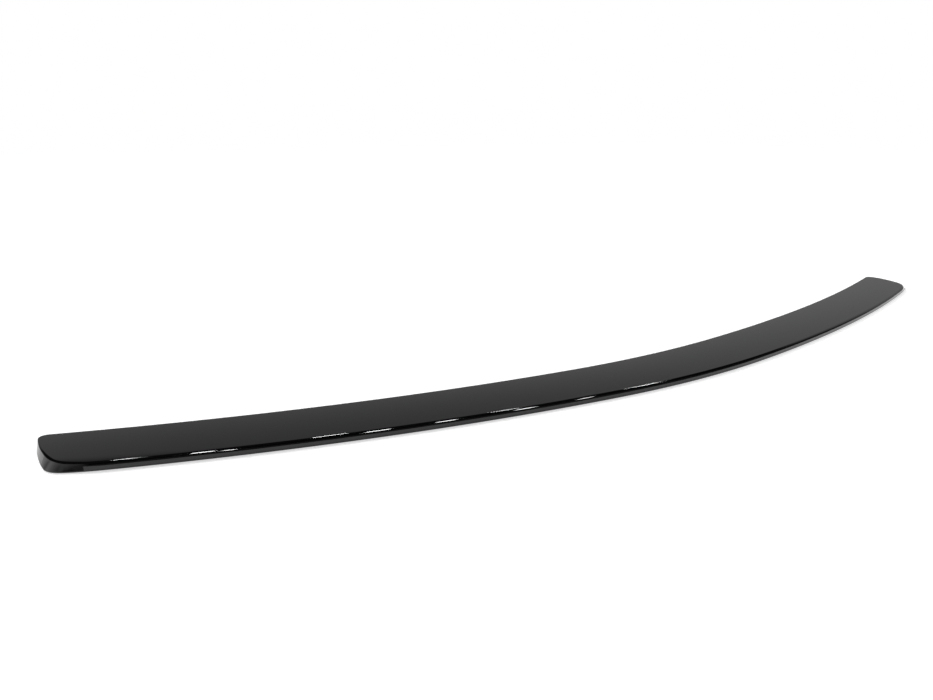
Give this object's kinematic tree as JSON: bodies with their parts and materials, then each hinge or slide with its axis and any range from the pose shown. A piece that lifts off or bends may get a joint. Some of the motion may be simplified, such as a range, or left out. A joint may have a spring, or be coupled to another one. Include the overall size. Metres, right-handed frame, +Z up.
{
  "type": "car trunk lip spoiler",
  "caption": "Long, thin, bowed lip spoiler blade in gloss black plastic, with a rounded trailing nose and a flat ribbed underside that bonds to a car's trunk lid edge.",
  "frame": {"origin": "on the bonding plane, half way across the front bonding land, at mid-span", "axes": "+X along the span to the right seen from behind the car, +Y toward the leading edge and the front of the car, +Z up out of the lid"},
  "size_m": [1.1998, 0.1743, 0.0072],
  "materials": {
    "gloss_black_plastic": "smooth high-gloss black, with the underside as moulded"
  },
  "bodies": {
    "root": {"lip_spoiler": "gloss_black_plastic"}
  },
  "joints": []
}
